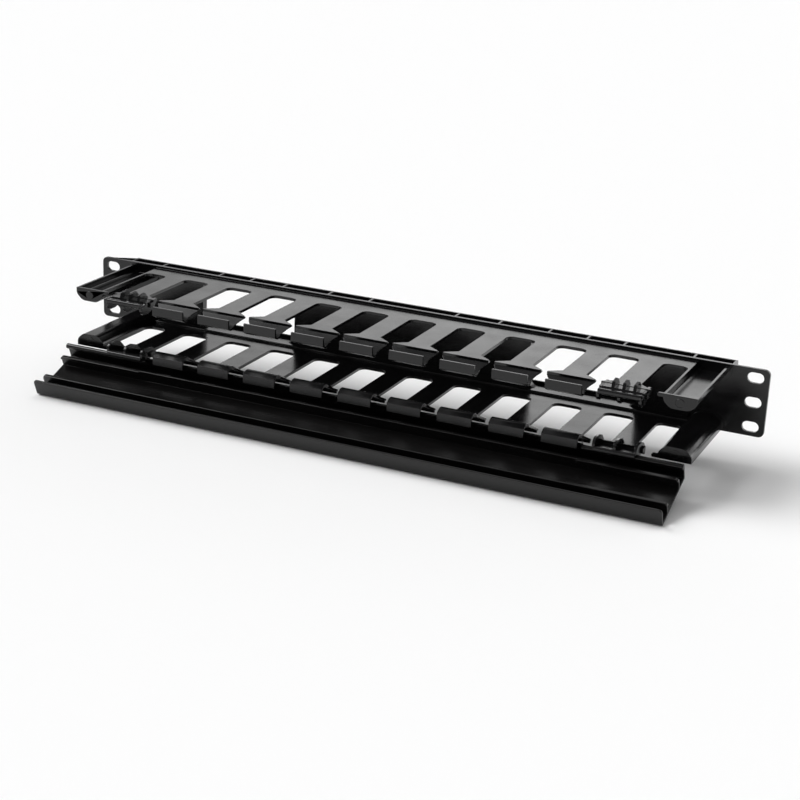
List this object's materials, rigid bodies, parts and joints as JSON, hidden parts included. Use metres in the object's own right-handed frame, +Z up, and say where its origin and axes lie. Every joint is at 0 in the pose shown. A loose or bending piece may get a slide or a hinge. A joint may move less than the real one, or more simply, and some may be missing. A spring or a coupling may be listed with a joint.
{
  "type": "horizontal cable manager",
  "caption": "Horizontal rack cable manager: moulded duct with T-shaped fingers above and below, slotted rack ears, rear cable windows and a hinged channel cover shown open.",
  "frame": {"origin": "centre of the rack panel's front face, midway between the mounting slots", "axes": "+X along the rack width, -Y forward along the fingers, +Z up"},
  "size_m": [0.4826, 0.1275, 0.0681],
  "materials": {
    "duct_body": "satin black moulded plastic",
    "cover": "satin black extruded plastic"
  },
  "bodies": {
    "duct": {"duct_body": "duct_body"},
    "lid": {"cover": "cover"}
  },
  "joints": [
    {"name": "cover_hinge", "type": "hinge", "parent": "duct", "child": "lid", "pos_m": [0, -0.07695, -0.02], "axis": [-1, 0, 0], "range_deg": [0, 110.8]}
  ]
}
